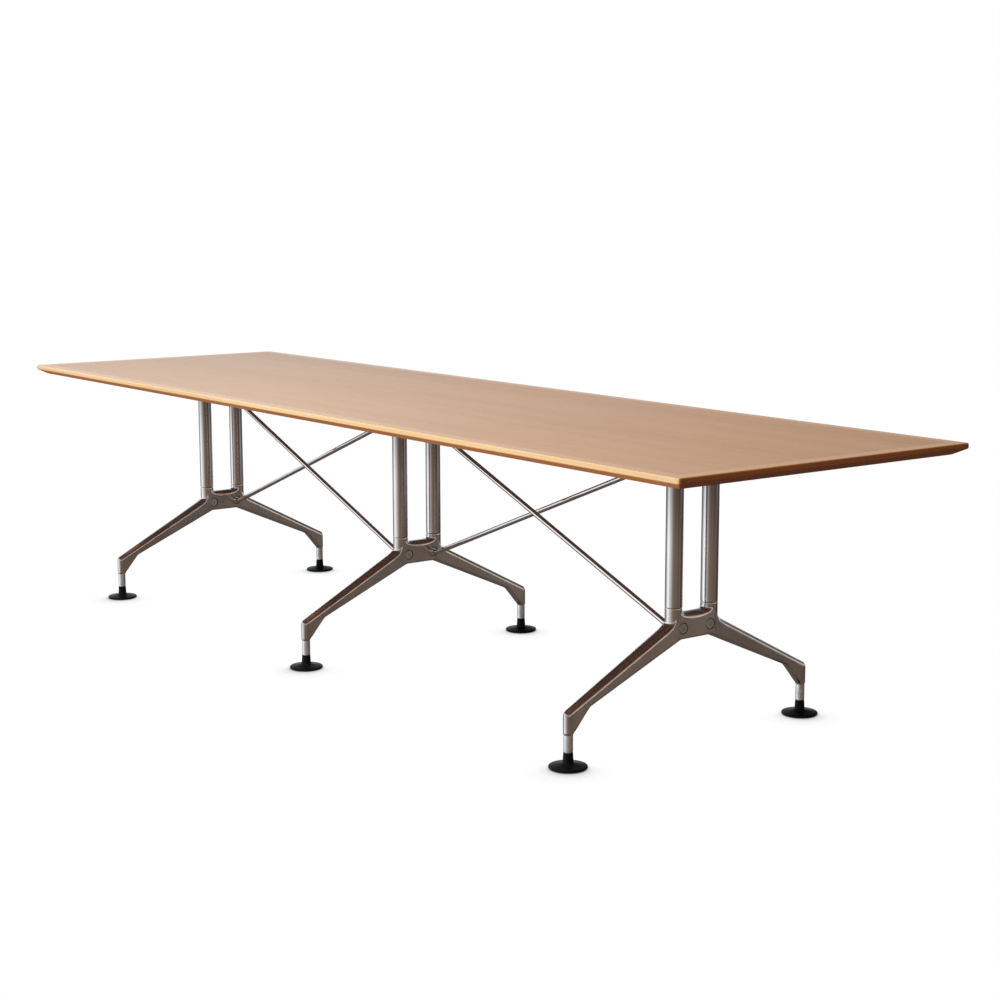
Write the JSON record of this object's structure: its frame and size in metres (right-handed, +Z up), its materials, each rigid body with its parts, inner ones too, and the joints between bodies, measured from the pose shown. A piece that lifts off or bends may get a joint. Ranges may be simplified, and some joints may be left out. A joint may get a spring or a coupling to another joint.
{
  "type": "conference table",
  "caption": "Long rectangular conference table: bevel-edged wood top on polished cast leg frames with paired tubes, crossed brace rods and screw-adjusted glide feet.",
  "frame": {"origin": "centre of the table's plan, on the floor", "axes": "+X along the length of the table, +Y across it, +Z up"},
  "size_m": [3.2, 0.9, 0.73],
  "materials": {
    "top_veneer": "satin lacquered veneer",
    "edge_wood": "satin lacquered solid wood",
    "cast_aluminium": "polished casting",
    "chrome_tube": "bright chrome",
    "chrome_rod": "bright chrome",
    "steel": "plated steel",
    "black_plastic": "satin black"
  },
  "bodies": {
    "table": {"top_core": "top_veneer", "lipping_front": "edge_wood", "lipping_back": "edge_wood", "lipping_right": "edge_wood", "lipping_left": "edge_wood", "foot_casting_1": "cast_aluminium", "head_bracket_1": "cast_aluminium", "top_screw_1_1": "steel", "top_screw_1_2": "steel", "top_screw_1_3": "steel", "top_screw_1_4": "steel", "column_1_front": "chrome_tube", "sleeve_1_front": "steel", "column_1_back": "chrome_tube", "sleeve_1_back": "steel", "plug_1_front_left": "cast_aluminium", "plug_1_front_right": "cast_aluminium", "plug_1_back_left": "cast_aluminium", "foot_casting_2": "cast_aluminium", "head_bracket_2": "cast_aluminium", "top_screw_2_1": "steel", "top_screw_2_2": "steel", "top_screw_2_3": "steel", "top_screw_2_4": "steel", "column_2_front": "chrome_tube", "sleeve_2_front": "steel", "column_2_back": "chrome_tube", "sleeve_2_back": "steel", "plug_2_front_right": "cast_aluminium", "plug_2_back_left": "cast_aluminium", "foot_casting_3": "cast_aluminium", "head_bracket_3": "cast_aluminium", "top_screw_3_1": "steel", "top_screw_3_2": "steel", "top_screw_3_3": "steel", "top_screw_3_4": "steel", "column_3_front": "chrome_tube", "sleeve_3_front": "steel", "column_3_back": "chrome_tube", "sleeve_3_back": "steel", "plug_3_front_right": "cast_aluminium", "plug_3_back_left": "cast_aluminium", "plug_3_back_right": "cast_aluminium", "brace_rod_1_front": "chrome_rod", "brace_rod_1_back": "chrome_rod", "brace_rod_2_front": "chrome_rod", "brace_rod_2_back": "chrome_rod"},
    "spindle_body_1_front": {"spindle_1_front": "steel"},
    "glide_body_1_front": {"glide_1_front": "black_plastic"},
    "spindle_body_1_back": {"spindle_1_back": "steel"},
    "glide_body_1_back": {"glide_1_back": "black_plastic"},
    "spindle_body_2_front": {"spindle_2_front": "steel"},
    "glide_body_2_front": {"glide_2_front": "black_plastic"},
    "spindle_body_2_back": {"spindle_2_back": "steel"},
    "glide_body_2_back": {"glide_2_back": "black_plastic"},
    "spindle_body_3_front": {"spindle_3_front": "steel"},
    "glide_body_3_front": {"glide_3_front": "black_plastic"},
    "spindle_body_3_back": {"spindle_3_back": "steel"},
    "glide_body_3_back": {"glide_3_back": "black_plastic"}
  },
  "joints": [
    {"name": "level_1_front", "type": "slide", "parent": "table", "child": "spindle_body_1_front", "axis": [0, 0, -1], "range_m": [0, 0.02]},
    {"name": "swivel_1_front", "type": "hinge", "parent": "spindle_body_1_front", "child": "glide_body_1_front", "pos_m": [-1.155, -0.375, 0.02], "axis": [0, 0, 1], "continuous": true},
    {"name": "level_1_back", "type": "slide", "parent": "table", "child": "spindle_body_1_back", "axis": [0, 0, -1], "range_m": [0, 0.02]},
    {"name": "swivel_1_back", "type": "hinge", "parent": "spindle_body_1_back", "child": "glide_body_1_back", "pos_m": [-1.155, 0.375, 0.02], "axis": [0, 0, 1], "continuous": true},
    {"name": "level_2_front", "type": "slide", "parent": "table", "child": "spindle_body_2_front", "axis": [0, 0, -1], "range_m": [0, 0.02]},
    {"name": "swivel_2_front", "type": "hinge", "parent": "spindle_body_2_front", "child": "glide_body_2_front", "pos_m": [0, -0.375, 0.02], "axis": [0, 0, 1], "continuous": true},
    {"name": "level_2_back", "type": "slide", "parent": "table", "child": "spindle_body_2_back", "axis": [0, 0, -1], "range_m": [0, 0.02]},
    {"name": "swivel_2_back", "type": "hinge", "parent": "spindle_body_2_back", "child": "glide_body_2_back", "pos_m": [0, 0.375, 0.02], "axis": [0, 0, 1], "continuous": true},
    {"name": "level_3_front", "type": "slide", "parent": "table", "child": "spindle_body_3_front", "axis": [0, 0, -1], "range_m": [0, 0.02]},
    {"name": "swivel_3_front", "type": "hinge", "parent": "spindle_body_3_front", "child": "glide_body_3_front", "pos_m": [1.155, -0.375, 0.02], "axis": [0, 0, 1], "continuous": true},
    {"name": "level_3_back", "type": "slide", "parent": "table", "child": "spindle_body_3_back", "axis": [0, 0, -1], "range_m": [0, 0.02]},
    {"name": "swivel_3_back", "type": "hinge", "parent": "spindle_body_3_back", "child": "glide_body_3_back", "pos_m": [1.155, 0.375, 0.02], "axis": [0, 0, 1], "continuous": true}
  ]
}
